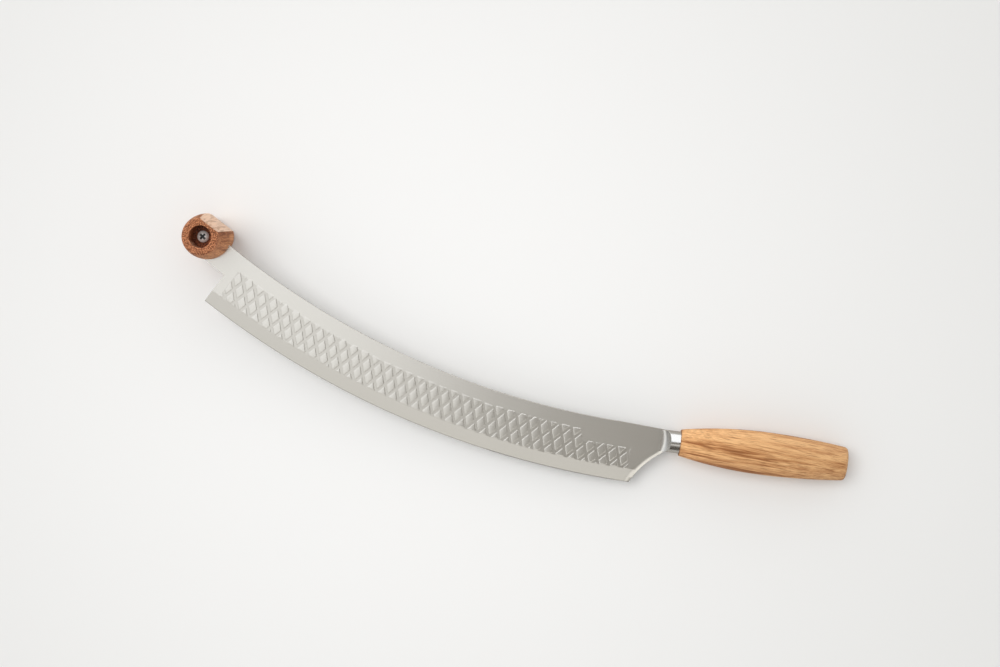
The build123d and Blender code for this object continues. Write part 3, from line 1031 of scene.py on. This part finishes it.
def makeHandle():
    # ovals from the bolster to the butt, with a soft front edge and a rounded butt
    bm = bmesh.new()
    front = planX + bolster["rearX"]
    halfWidth = halfDepth = 1.0
    verts, edges = barRing(bm, front, 1.0, handle["segments"])
    for index, (reach, inset) in enumerate(handleStations()):
        if index > 0:
            verts, edges = extrudeRow(bm, edges)
        before = (halfWidth, halfDepth)
        halfWidth = swell(reach, handle["widths"]) / 2 - inset
        halfDepth = swell(reach, handle["depths"]) / 2 - inset
        for vert in verts:
            across, up = vert.co.y - axisY, vert.co.z - bladeZ
            angle = atan2(up / before[1], across / before[0])
            vert.co.x = front + reach
            vert.co.y = axisY + cos(angle) * halfWidth
            vert.co.z = bladeZ + sin(angle) * halfDepth
    closeEnds(bm)
    finishPiece(bm, "handle_oak_grip", "handle", handleWood(), handle["sharpAngle"])


# Knob

knob = {
    "halfLength": 26.0 * mm,
    "middleRadius": 15.89 * mm,
    "endRadius": 12.4 * mm,
    "endRounding": 2.3 * mm,
    "facetMiddle": 12.4 * mm,
    "facetEnd": 9.8 * mm,
    "wellRadius": 7.7 * mm,
    "wellDepth": 11.0 * mm,
    "wellLip": 0.4 * mm,
    "holeRadius": 2.2 * mm,
    "segments": 128,
    "roundingSteps": 6,
    "barrelSteps": 12,
    "facetSteps": 48,
    "facetPast": (1.0 * mm, 4.0 * mm),  # how far the facet's cutter reaches past the ends and the side
    "facetWidth": 2.4,  # its width in middle radii
    "tongueSteps": 6,
    "tongueGap": 0.1 * mm,  # beside the tongue, on each side
    "tongueSlack": 0.02,  # and beyond its end, in degrees
    "edgeSoftness": 0.3 * mm,
    "softAngle": 28.0,
    "sharpAngle": 32.0,
}


def longArc(middle, end):
    # distance from the axis by height, on an arc through the middle's and the ends' distances
    drop = middle - end
    curve = (knob["halfLength"] ** 2 + drop**2) / (2 * drop)
    return (lambda z: middle - curve + sqrt(curve**2 - z**2)), curve


def knobProfile(side):
    # radius and height of the half's section, from the well's floor out over the end and down the barrel
    end = knob["halfLength"]
    well, lip, rounding = knob["wellRadius"], knob["wellLip"], knob["endRounding"]
    seat = end - knob["wellDepth"]
    points = [(knob["holeRadius"], seat), (well, seat), (well, end - lip), (well + lip, end)]
    barrel, curve = longArc(knob["middleRadius"], knob["endRadius"])
    lean = asin(end / curve)
    # the rounding's centre touches the end face and the barrel's arc
    centreZ = end - rounding
    centreR = barrel(centreZ + rounding * sin(lean)) - rounding * cos(lean)
    for turn in between(pi / 2, lean, knob["roundingSteps"]):
        points.append((centreR + rounding * cos(turn), centreZ + rounding * sin(turn)))
    points += [(barrel(z), z) for z in between(points[-1][1], 0.0, knob["barrelSteps"], 1)]
    points.append((knob["holeRadius"], 0.0))
    return [(r, side * z) for r, z in points]


def makeCutter(name, outline, push):
    # a closed outline pushed through the wood, to be taken away from it
    bm = bmesh.new()
    face = bm.faces.new([bm.verts.new(p - push / 2) for p in outline])
    made = bmesh.ops.extrude_face_region(bm, geom=[face])["geom"]
    bmesh.ops.translate(bm, vec=push, verts=vertsIn(made))
    faceOutward(bm)
    return newObject(bm, name)


def tongueCutter():
    # the space that the plate's tongue takes in the knob
    inner, outer = backRadius - knob["tongueGap"], notchRadius + knob["tongueGap"]
    first, last = blade["frontAngle"], blade["tongueEndAngle"] + knob["tongueSlack"]
    angles = between(first, last, knob["tongueSteps"])
    outline = [onCurve(inner, a) for a in angles] + [onCurve(outer, a) for a in reversed(angles)]
    return makeCutter("tongueCutter", outline, Vector((0, 0, 2 * blade["halfThickness"])))


def facetCutter():
    # the facet curves from end to end, much as the barrel does
    turn = radians(layout["facetTurn"])
    normal = Vector((cos(turn), sin(turn), 0))
    facet = longArc(knob["facetMiddle"], knob["facetEnd"])[0]
    pastEnd, pastSide = knob["facetPast"]
    top = knob["halfLength"] + pastEnd
    heights = between(-top, top, knob["facetSteps"])
    outline = [knobCentre + normal * facet(z) + Vector((0, 0, z)) for z in heights]
    far = knobCentre + normal * (knob["middleRadius"] + pastSide)
    outline += [far + Vector((0, 0, top)), far - Vector((0, 0, top))]
    along = Vector((-normal.y, normal.x, 0))
    return makeCutter("facetCutter", outline, along * knob["facetWidth"] * knob["middleRadius"])


def makeKnobHalf(name, node, side, cutters, material):
    bm = bmesh.new()
    verts = [bm.verts.new(knobCentre + Vector((r, 0, z))) for r, z in knobProfile(side)]
    edges = [bm.edges.new(pair) for pair in zip(verts, verts[1:] + verts[:1])]
    bmesh.ops.spin(
        bm, geom=verts + edges, cent=knobCentre, axis=(0, 0, 1), angle=2 * pi, steps=knob["segments"],
        use_merge=True
    )
    bmesh.ops.remove_doubles(bm, verts=bm.verts, dist=tiny)
    faceOutward(bm)
    turned = newObject(bm, name)
    for cutter in cutters:
        cut = turned.modifiers.new(cutter.name, "BOOLEAN")
        cut.operation = "DIFFERENCE"
        cut.solver = "EXACT"
        cut.object = cutter
    soft = turned.modifiers.new("softEdges", "BEVEL")
    soft.width = knob["edgeSoftness"]
    soft.segments = 2
    soft.limit_method = "ANGLE"
    soft.angle_limit = radians(knob["softAngle"])
    done = bpy.data.meshes.new_from_object(turned.evaluated_get(bpy.context.evaluated_depsgraph_get()))
    bpy.data.objects.remove(turned)
    bm = bmesh.new()
    bm.from_mesh(done)
    bpy.data.meshes.remove(done)
    finishPiece(bm, name, node, material, knob["sharpAngle"])


def makeKnob():
    cutters = (facetCutter(), tongueCutter())
    bpy.context.view_layer.update()
    oak = knobWood()
    makeKnobHalf("knob_half_upper", "knob_front_half", 1, cutters, oak)
    makeKnobHalf("knob_half_lower", "knob_back_half", -1, cutters, oak)
    for cutter in cutters:
        bpy.data.objects.remove(cutter)


makeBlade()
makeBolster()
print("bolster made")
makeHandle()
print("handle made")
makeKnob()
print("knob made")


# Fasteners and the hidden resin keep their solids and get their finishes

resin = {
    "tones": ((0.42, 0.30, 0.15), (0.58, 0.44, 0.25)),
    "noise": (220.0, 3.0),
    "roughness": 0.5,
}


def dress(nodeName, material):
    mesh = nodes[nodeName].data
    mesh.materials.clear()
    mesh.materials.append(material)


def resinMaterial():
    material, net, shader, place = newMaterial("tangResin")
    colour = net.mix(net.noise(place, *resin["noise"]), *resin["tones"])
    net.feed(shader, {"Base Color": colour, "Roughness": resin["roughness"]})
    return material


screwMetal = screwSteel()
dress("knob_screw", screwMetal)
dress("knob_nut", screwMetal)
dress("tang_resin", resinMaterial())
print("fasteners dressed")

bpy.context.view_layer.update()
